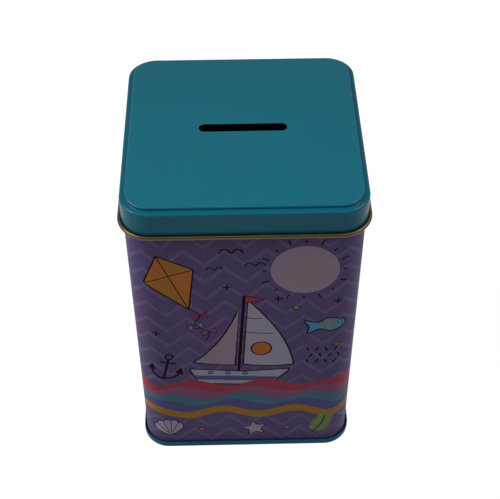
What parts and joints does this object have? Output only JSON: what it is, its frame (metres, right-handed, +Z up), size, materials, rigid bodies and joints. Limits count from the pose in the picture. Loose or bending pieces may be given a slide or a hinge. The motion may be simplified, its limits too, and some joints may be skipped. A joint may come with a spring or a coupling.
{
  "type": "tin coin bank",
  "caption": "Tall square tinplate coin bank with rounded corners, a printed wall, a seamed base and a slip lid with a coin slot.",
  "frame": {"origin": "middle of the underside, on the plane of the base rim", "axes": "+Z up through the lid, -Y out of the front wall, +X to the right seen from the front"},
  "size_m": [0.105, 0.105, 0.164],
  "materials": {
    "lid_enamel": "satin teal enamel outside, clear gold lacquer inside and on the rolled edge",
    "printed_tin": "offset print on a violet ground under satin varnish, gold lacquer inside",
    "base_enamel": "satin teal enamel outside, gold lacquer inside"
  },
  "bodies": {
    "tin": {"body": "printed_tin", "base": "base_enamel"},
    "lid": {"lid": "lid_enamel"}
  },
  "joints": [
    {"name": "lid_lift", "type": "slide", "parent": "tin", "child": "lid", "axis": [0, 0, 1], "range_m": [0, 0.05]}
  ]
}
